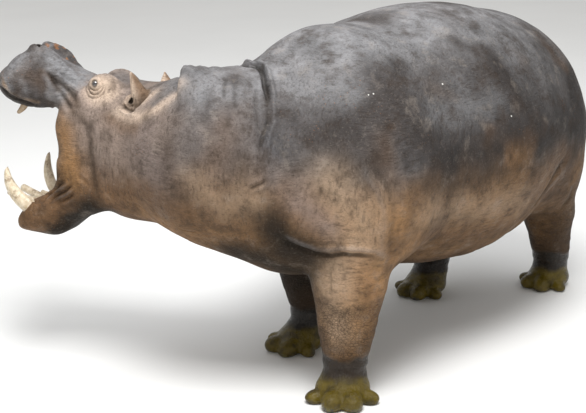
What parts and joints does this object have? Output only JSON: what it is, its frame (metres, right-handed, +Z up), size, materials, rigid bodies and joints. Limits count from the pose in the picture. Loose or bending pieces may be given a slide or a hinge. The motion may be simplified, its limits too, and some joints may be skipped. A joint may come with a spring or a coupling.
{
  "type": "hippopotamus",
  "caption": "Life-size common hippopotamus standing on four feet, head turned to its right with the jaws wide open and the tusks showing.",
  "frame": {"origin": "on the ground, under the centre of the animal's bounding box", "axes": "+Z up; the trunk's front points along -X; the animal's left side faces -Y"},
  "size_m": [2.5756, 1.8144, 1.4894],
  "materials": {
    "hide": "matte, bare wrinkled hide, slate grey above and tan below",
    "head_hide": "matte, bare wrinkled hide, slate grey muzzle and tan cheeks",
    "leg_hide": "matte, bare wrinkled hide, tan brown",
    "jaw_hide": "matte, bare wrinkled hide, dark brown",
    "foot_hide": "damp, muddy olive brown",
    "ear_hide": "matte, smooth beige",
    "tongue": "damp, fleshy pink",
    "ivory": "cream ivory, streaked, half gloss",
    "eye": "dark brown, wet gloss"
  },
  "bodies": {
    "root": {"trunk": "hide", "neck": "hide", "tail": "hide", "leg_fore_left": "leg_hide", "foot_fore_left": "foot_hide", "leg_fore_right": "leg_hide", "foot_fore_right": "foot_hide", "leg_hind_left": "leg_hide", "foot_hind_left": "foot_hide", "leg_hind_right": "leg_hide", "foot_hind_right": "foot_hide", "head": "head_hide", "cheek_left": "head_hide", "cheek_right": "head_hide", "lower_jaw": "jaw_hide", "tongue": "tongue", "eye_left": "eye", "ear_left": "ear_hide", "canine_lower_left": "ivory", "incisor_lower_inner_left": "ivory", "incisor_lower_outer_left": "ivory", "canine_upper_left": "ivory", "incisor_upper_inner_left": "ivory", "incisor_upper_outer_left": "ivory", "eye_right": "eye", "ear_right": "ear_hide", "canine_lower_right": "ivory", "incisor_lower_inner_right": "ivory", "incisor_lower_outer_right": "ivory", "canine_upper_right": "ivory", "incisor_upper_inner_right": "ivory", "incisor_upper_outer_right": "ivory"}
  },
  "joints": []
}
